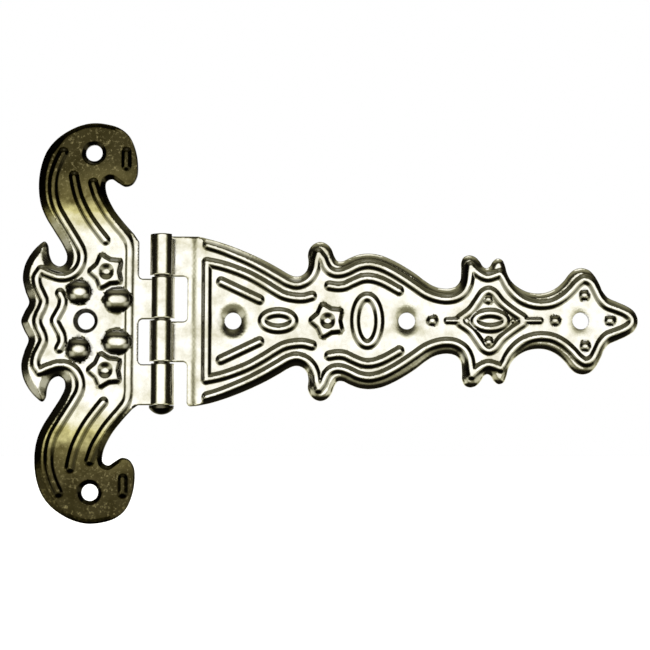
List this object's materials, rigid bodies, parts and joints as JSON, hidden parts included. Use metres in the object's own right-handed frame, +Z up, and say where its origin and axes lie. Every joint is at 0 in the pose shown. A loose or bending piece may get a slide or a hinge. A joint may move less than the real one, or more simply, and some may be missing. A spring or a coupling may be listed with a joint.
{
  "type": "door hinge",
  "caption": "Ornamental T-hinge of stamped sheet steel: a winged frame leaf, a long scalloped strap and a headed pin, with raised bead relief.",
  "frame": {"origin": "centre of the frame leaf's middle screw hole, on the plane of the leaves' backs", "axes": "+X towards the strap's tip, +Z up along the hinge pin, -Y out of the decorated front, so the door and frame lie on the +Y side"},
  "size_m": [0.21, 0.0086, 0.137],
  "materials": {
    "plated_sheet": "bright nickel-zinc plating on stamped sheet steel",
    "plated_pin": "bright plated drawn steel wire"
  },
  "bodies": {
    "frame_side": {"frame_leaf": "plated_sheet", "hinge_pin": "plated_pin"},
    "strap_side": {"strap_leaf": "plated_sheet"}
  },
  "joints": [
    {"name": "strap_swing", "type": "hinge", "parent": "frame_side", "child": "strap_side", "pos_m": [0.0263, -0.0043, 0], "axis": [0, 0, -1], "range_deg": [-120, 180]}
  ]
}
